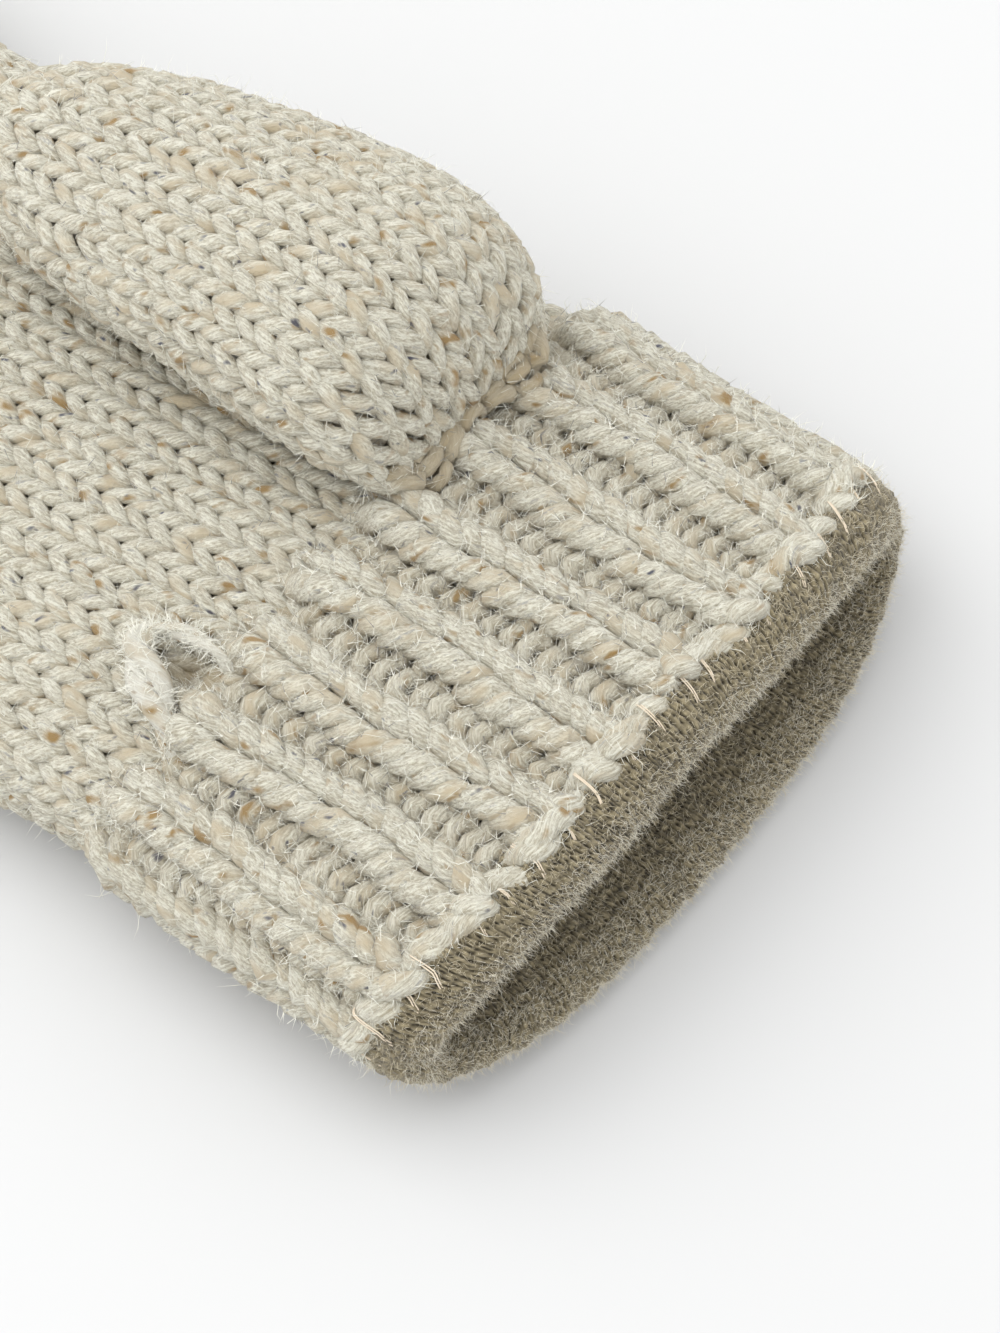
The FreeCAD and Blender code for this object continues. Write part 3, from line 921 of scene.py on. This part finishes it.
hand = stockinette(hand_skin, relief=hand_relief, keep=PALM_AND_BACK)
hand_yarn = [
    attach(hand[side].make("hand_knit_" + side, WOOL), "hand", "hand_shell") for side in PALM_AND_BACK
]
hand_fuzz = [
    attach(fuzz("hand_fuzz_palm", hand["palm"], 16000, WOOL_FUZZ, width=0.034), "hand"),
    attach(nap("hand_nap_palm", hand["palm"], 9000, WOOL_FUZZ), "hand"),
    attach(nap("hand_nap_grey", hand["palm"], 4000, GREY_FUZZ), "hand"),
    attach(fuzz("hand_fuzz_back", hand["back"], 9000, WOOL_FUZZ), "hand"),
]
cloth("hand_cloth", hand_skin, BACKING, "hand", "hand_shell")


# The hand's cast-off edge, round the fingers


def cast_off():
    """Two strands twisted round each other along the hand's open end."""
    pile = Pile()
    turns = np.linspace(0, 1, 900, endpoint=False)
    for strand in (0, math.pi):
        phase = turns * 2 * math.pi * 34 + strand
        end = hand_skin.length - 1.6
        path, normal = hand_skin.at(turns, end + 0.9 * np.cos(phase), -2.9 + 1.1 * np.sin(phase))
        pile.add(*sweep(path, normal, 1.15, True, start=strand * 700))
    return pile


attach(cast_off().make("hand_cast_off", WOOL), "hand", "hand_shell")


# The thumb

THUMB_BASE_X = WRIST_X + 3.0
THUMB_DOME = 17.0
THUMB_TIP = 26.0
THUMB_LEAN = 4.0
# Shares of the rings: on the dome, and along the straight part
DOME_RINGS, STRAIGHT_RINGS = 0.22, 0.5


def thumb_ring(x):
    """A ring of the thumb, at X. It rises from the palm as a dome and closes at a broad tip."""
    low, high = THUMB_LOW[2], THUMB_HIGH[2]
    rise = math.sqrt(max(1 - max(x - (THUMB_BASE_X - THUMB_DOME), 0) ** 2 / THUMB_DOME**2, 0.0))
    share = max(THUMB_LOW[0] + THUMB_TIP - x, 0) / THUMB_TIP
    close = math.sqrt(max(1 - share**2, 0.0))
    thick = (1 - share**4) ** 0.5 * (high - low) * (0.1 + 0.9 * rise)
    middle_z = (low + high) / 2 - (high - low) * 0.45 * (1 - rise)
    taper = smooth((WRIST_X - 14 - x) / 60)
    half = max(THUMB_HALF * (1 - 0.26 * taper) * close * (0.62 + 0.38 * rise**0.8), 0.6)
    thick = max(thick * (1 - 0.16 * taper), 0.6)
    middle_z -= 0.22 * taper * (high - low) / 2
    y, z = outline(half, middle_z - thick / 2, middle_z + thick / 2, 2.1, 2.3, 0.48)
    return np.stack([np.full_like(y, x), THUMB_Y - THUMB_LEAN * taper + y, z], 1)


def thumb_places(count=70):
    """X for rings spaced evenly along the thumb's profile: close together on the dome and the tip."""
    turn = np.linspace(0, 1, count)
    dome, straight = np.clip(turn / DOME_RINGS, 0, 1), np.clip((turn - DOME_RINGS) / STRAIGHT_RINGS, 0, 1)
    tip = np.clip((turn - DOME_RINGS - STRAIGHT_RINGS) / (1 - DOME_RINGS - STRAIGHT_RINGS), 0, 1)
    foot = THUMB_BASE_X - THUMB_DOME
    straight = straight * (foot - THUMB_LOW[0] - THUMB_TIP)
    # The last ring stops just short of the very tip
    tip = THUMB_TIP * np.sin(tip * math.pi / 2 * 0.985)
    return foot + THUMB_DOME * np.cos(dome * math.pi / 2) - straight - tip


thumb_skin = Skin([thumb_ring(x) for x in thumb_places()])
thumb = stockinette(thumb_skin)["all"]


def bend_thumb(made):
    """Bakes the thumb piece's place into its mesh."""
    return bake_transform(made)


thumb_pieces = [
    attach(thumb.make("thumb_knit", WOOL), bend_thumb, "thumb_shell"),
    attach(fuzz("thumb_fuzz", thumb, 12000, WOOL_FUZZ, width=0.034), bend_thumb),
    attach(nap("thumb_nap", thumb, 5000, WOOL_FUZZ), bend_thumb),
    attach(nap("thumb_nap_grey", thumb, 2500, GREY_FUZZ), bend_thumb),
]
cloth("thumb_cloth", thumb_skin, THUMB_BACKING, bend_thumb, "thumb_shell",
      along=(6.0, thumb_skin.length - 5.0))


# The hood, which flips back over the hand's back

HOOD_HALF = (BAND_HIGH[1] - BAND_LOW[1]) / 2
HOOD_START_Y = (BAND_HIGH[1] + BAND_LOW[1]) / 2
HOOD_TIP_Y = HOOD_START_Y - 2.9
TIP_X = HOOD_LOW[0]


def hood_ring(share):
    """A ring of the hood, share of the way from its open end to its tip."""
    x = HINGE_X + (TIP_X - HINGE_X) * share
    narrow = math.sqrt(1 - max(0.0, (share - 0.3) / 0.75) ** 2.6)
    high = HOOD_HIGH[2] - 5.0 * share**2 - 5.0 * share**8
    low = 4.0 * share**8
    closing = math.sqrt(max(1 - max(share - 0.9, 0) ** 2 * 100, 0.0004))
    middle = (low + high) / 2
    y, z = outline(HOOD_HALF * narrow * (0.4 + 0.6 * closing), middle - (middle - low) * closing,
                   middle + (high - middle) * closing, 2.5, 3.2)
    return np.stack([np.full_like(y, x), HOOD_START_Y + (HOOD_TIP_Y - HOOD_START_Y) * share + y, z], 1)


hood_skin = Skin([hood_ring(s) for s in np.sin(np.linspace(0, math.pi / 2, 60)) ** 1.15])
# Only what lies flat under the knuckles is sewn on: the sides part from the hand when the hood opens
HOOD_ZONES = zones(0.315)
hood = stockinette(hood_skin, keep=HOOD_ZONES)


def bend_hood(made):
    """Bakes the hood piece's place into its mesh."""
    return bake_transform(made)


hood_yarn = [
    attach(hood["palm"].make("hood_knit_palm", WOOL), "hood", "hood_shell"),
    attach(hood["back"].make("hood_knit_back", WOOL), bend_hood, "hood_shell"),
]
hood_fuzz = [
    attach(fuzz("hood_fuzz_palm", hood["palm"], 9000, WOOL_FUZZ), "hood"),
    attach(fuzz("hood_fuzz_back", hood["back"], 7000, WOOL_FUZZ), "hood"),
]
cloth("hood_cloth", hood_skin, BACKING, "hood", "hood_shell")


# The ribbed band at the hood's open edge, on the palm side

BAND_ROWS = 4
BAND_COLUMNS = 28


def tube_ring(x, half, middle, low, high, top_power, foot_power, waist=0.46):
    """A plain ring at X, for the band and the half fingers."""
    y, z = outline(half, low, high, top_power, foot_power, waist)
    return np.stack([np.full_like(y, x), middle + y, z], 1)


band_skin = Skin([
    tube_ring(x, HOOD_HALF, HOOD_START_Y, 0.5, BAND_HIGH[2], 2.5, 3.2)
    for x in np.linspace(BAND_HIGH[0], BAND_LOW[0], 12)
])
band = knit(
    band_skin, even_columns(BAND_COLUMNS * 2), BAND_ROWS, band_skin.length / BAND_ROWS, 1.3, rib_kinds,
    keep={"palm": lambda a: (a < 0.3) | (a > 0.7)}, depth=0.6,
)["palm"]
attach(band.make("hood_band_knit", WOOL), "hood", "hood_band")
attach(fuzz("hood_band_fuzz", band, 4000, WOOL_FUZZ), "hood")
cloth("hood_band_cloth", band_skin, BAND_BACKING, "hood", "hood_band", around=(0.7, 1.3), steps=(10, 90))


# The half fingers inside the hood

STALL_ROWS = 4
for finger in ("index", "middle", "ring", "little"):
    low, high = box(finger + "_stall")
    half, middle = (high[1] - low[1]) / 2, (high[1] + low[1]) / 2
    stall_skin = Skin([
        tube_ring(x, half, middle, low[2], high[2], 2.2, 2.2, 0.5) for x in np.linspace(high[0], low[0], 12)
    ])
    course = stall_skin.length / STALL_ROWS
    stall = knit(stall_skin, even_columns(12), STALL_ROWS, course, 1.05, depth=0.5)["all"]
    attach(stall.make(finger + "_stall_knit", WOOL), "hand", finger + "_stall")
    attach(fuzz(finger + "_stall_fuzz", stall, 900, WOOL_FUZZ, (0.8, 2.0)), "hand")
    cloth(finger + "_stall_cloth", stall_skin, STALL_BACKING, "hand", finger + "_stall", steps=(12, 48))


# The linings inside the hand, hood and thumb

cloth("hand_lining_cloth", hand_skin, LINING_DEPTH, "hand", "hand_lining", lining=True)
cloth("hood_lining_cloth", hood_skin, LINING_DEPTH, "hood", "hood_lining", lining=True)
cloth("thumb_lining_cloth", thumb_skin, THUMB_LINING_DEPTH, bend_thumb, "thumb_lining", lining=True,
      along=(14.0, thumb_skin.length - 8.0))


# The fat loop of yarn that was left standing where the cuff was picked up

KNOT = (
    # out from the wrist, across from the hand's middle, lift, radius
    (5.0, -36.0, -1.6, 1.1), (1.5, -33.6, 0.7, 1.7), (-3.0, -31.0, 1.6, 2.3), (-6.6, -29.0, 1.7, 2.3),
    (-9.2, -27.0, 1.0, 1.7), (-9.4, -24.8, 0.3, 1.2), (-7.4, -22.8, 0.1, 1.05), (-4.0, -21.8, 0.2, 1.05),
    (-0.5, -21.8, 0.1, 1.0), (4.0, -22.4, -1.6, 0.9),
)


def yarn_knot():
    """Two loose strands side by side along KNOT, as far above the palm as it says."""
    line = smooth_line(np.array(KNOT), np.arange(len(KNOT)), 110, 15)
    place = np.stack([WRIST_X + line[:, 0], WRIST_Y + line[:, 1], line[:, 2]], 1)
    for point in place:
        side = palm_side(point[0])
        point[2] += np.interp(point[1], side[:, 1], side[:, 2])
    side = np.cross(unit(np.gradient(place, axis=0)), UP)
    phase = np.linspace(0, 38, len(place)) * 0.33
    reach = line[:, 3:] * 0.45
    return twisted_pair(place, side, phase, reach, 0.6 * reach, line[:, 3] * 0.72, False, 70)


knot = yarn_knot()
attach(knot.make("yarn_knot", IVORY), "hand")
attach(fuzz("yarn_knot_fuzz", knot, 900, BRIGHT_FUZZ), "hand")
attach(nap("yarn_knot_nap", knot, 500, BRIGHT_FUZZ), "hand")


# The ring of yarn that the thumb was picked up from


def corner(v):
    """Squares a circle's cosine or sine a little."""
    return np.sign(v) * np.abs(v) ** 0.6


def thumb_ring_yarn():
    """Two strands twisted round each other, round the foot of the thumb."""
    low, high = box("thumb_seam")
    middle, half = (low + high) / 2, (high - low) / 2 - 1.5
    middle[2] = high[2] - 1.3
    turn = np.linspace(0, 2 * math.pi, 150, endpoint=False)
    out = np.stack([half[0] * corner(np.cos(turn)), half[1] * corner(np.sin(turn)), 0 * turn], 1)
    return twisted_pair(middle + out, unit(out), turn * 16, 0.9, 0.9, 1.1, True, 90)


attach(thumb_ring_yarn().make("thumb_seam_yarn", WOOL), "hand", "thumb_seam")


# The parts carried over from the frame


def close_knit(name):
    """Small firm stitches of the tweed yarn, for the web between the fingers and the hinge's seam, with
    painted shade between the stitches.
    """
    look = Look(name, 0.92, Sheen_Weight=0.35, Specular_IOR_Level=0.15)
    coords = look.millimetres()
    inputs = {"Vector": look.scaled(coords, (0.42, 0.55, 0.55)), "Scale": 1.0}
    cells = look.node("ShaderNodeTexVoronoi", inputs, "Distance")
    streak = look.noise(coords, (0.7, 1.9, 1.9), 5.0, 0.7)
    colour = look.layer(streak, 0.36, 0.62, OATMEAL_DARK, OATMEAL)
    # Painted shade: each cell darkens to the dark oatmeal towards its edge, where the bump sinks between the
    # stitches.
    colour = look.layer(cells, 0.35, 0.8, colour, OATMEAL_DARK)
    return look.finish(colour, cells, 0.9, 0.001, invert=True)


def turned_wood(name):
    """Warm wood with rings of grain, under a thin satin finish."""
    look = Look(name, 0.42, Coat_Weight=0.25, Coat_Roughness=0.3)
    coords = look.millimetres()
    grain = look.node("ShaderNodeTexWave", {
        "Vector": look.scaled(coords, (0.35, 1.0, 1.0)), "Scale": 0.16, "Distortion": 5.0,
        "Detail": 3.0, "Detail Scale": 1.4,
    }, "Fac")
    pores = look.noise(coords, (0.5, 6.0, 6.0), 3.0)
    colour = look.blend(grain, (0.17, 0.085, 0.035, 1), (0.36, 0.205, 0.095, 1))
    colour = look.layer(pores, 0.56, 0.75, colour, (0.09, 0.045, 0.02, 1))
    return look.finish(colour, pores, 0.4, 0.0003)


def twisted_thread(name):
    """Pale sewing thread, with its twist, darkened as painted shade in the twist's low bands."""
    look = Look(name, 0.55)
    inputs = {"Vector": look.millimetres(), "Scale": 1.3, "Distortion": 1.2, "Detail": 2.0}
    twist = look.node("ShaderNodeTexWave", inputs, "Fac", bands_direction="DIAGONAL")
    # Painted shade: the thread darkens along the low bands of its twist, between its plies.
    colour = look.blend(twist, (0.50, 0.43, 0.28, 1), (0.74, 0.67, 0.50, 1))
    return look.finish(colour, twist, 0.6, 0.0002)


CLOSE_KNIT = close_knit("close_tweed")
for carried, material in (
    ("knuckle_web", CLOSE_KNIT),
    ("hinge_seam", CLOSE_KNIT),
    ("hold_back_button", turned_wood("button_wood_grain")),
    ("button_thread", twisted_thread("button_thread_twist")),
):
    mesh = frame["nodes"][carried].data
    mesh.materials.clear()
    mesh.materials.append(material)


# The loop at the hood's tip, a cord of the same yarn twisted on itself


def hold_loop():
    """Two twisted strands that leave the hood's tip, turn round and go back in."""
    low, high = box("hold_loop")
    radius = (high[2] - low[2]) / 2
    half = (high[1] - low[1]) / 2 - radius
    middle = (low + high) / 2 * [0, 1, 1]
    root, end = high[0] + 4.0, low[0] + radius
    straight = root - end - half
    t = np.linspace(0, 2 * straight + math.pi * half, 90)
    turn = np.clip((t - straight) / half, 0, math.pi)
    x = root - np.clip(t, 0, straight) - half * np.sin(turn)
    x = x + np.clip(t - straight - math.pi * half, 0, None)
    line = middle + np.stack([x, half * np.cos(turn), np.zeros_like(t)], 1)
    out = np.stack([-np.sin(turn), np.cos(turn), np.zeros_like(t)], 1)
    return twisted_pair(line, out, t * 1.5, 0.5, 0.5, 0.58, False, 50, twist=4.0)


loop = hold_loop()
attach(loop.make("hold_loop_cord", WOOL), "hood", "hold_loop")
attach(fuzz("hold_loop_fuzz", loop, 500, WOOL_FUZZ, (0.6, 1.6)), "hood")


# The camera, light and floor

cam_data = bpy.data.cameras.new("camera")
cam = add_object("camera", cam_data)
AZIMUTH, ELEVATION = math.radians(38.6), math.radians(59.3)
DISTANCE = 510.0
LENS = 112.0
LOOK_AT = np.array([90.5, 7.6, 15.0])
FLOOR_HALF = 3000
back = np.array([
    math.sin(AZIMUTH) * math.cos(ELEVATION),
    -math.cos(AZIMUTH) * math.cos(ELEVATION),
    math.sin(ELEVATION),
])
cam.location = (LOOK_AT + back * DISTANCE) * MM
cam.rotation_euler = Vector(-back).to_track_quat("-Z", "Y").to_euler()
cam_data.lens = LENS
cam_data.clip_start = 0.01
bpy.context.scene.camera = cam

floor_material = Look("floor", 0.8, Base_Color=(0.60, 0.603, 0.603, 1)).material
corners = [(FLOOR_HALF * x, FLOOR_HALF * y, 0) for x, y in ((-1, -1), (1, -1), (1, 1), (-1, 1))]
floor = to_mesh("floor", corners, [(0, 1, 2, 3)], floor_material)
floor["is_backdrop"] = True

key_data = bpy.data.lights.new("key", "AREA")
key_data.size = 1.25
key_data.energy = 8.0
key = add_object("key", key_data)
key.location = (-0.63, -0.24, 0.95)
key.rotation_euler = (Vector((0.05, 0, 0)) - key.location).to_track_quat("-Z", "Y").to_euler()
world = bpy.data.worlds.new("studio")
bpy.context.scene.world = world
world.use_nodes = True
world.node_tree.nodes["Background"].inputs["Color"].default_value = (1, 1, 1, 1)
world.node_tree.nodes["Background"].inputs["Strength"].default_value = 1.3
bpy.context.scene.view_settings.view_transform = "Standard"

low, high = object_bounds()
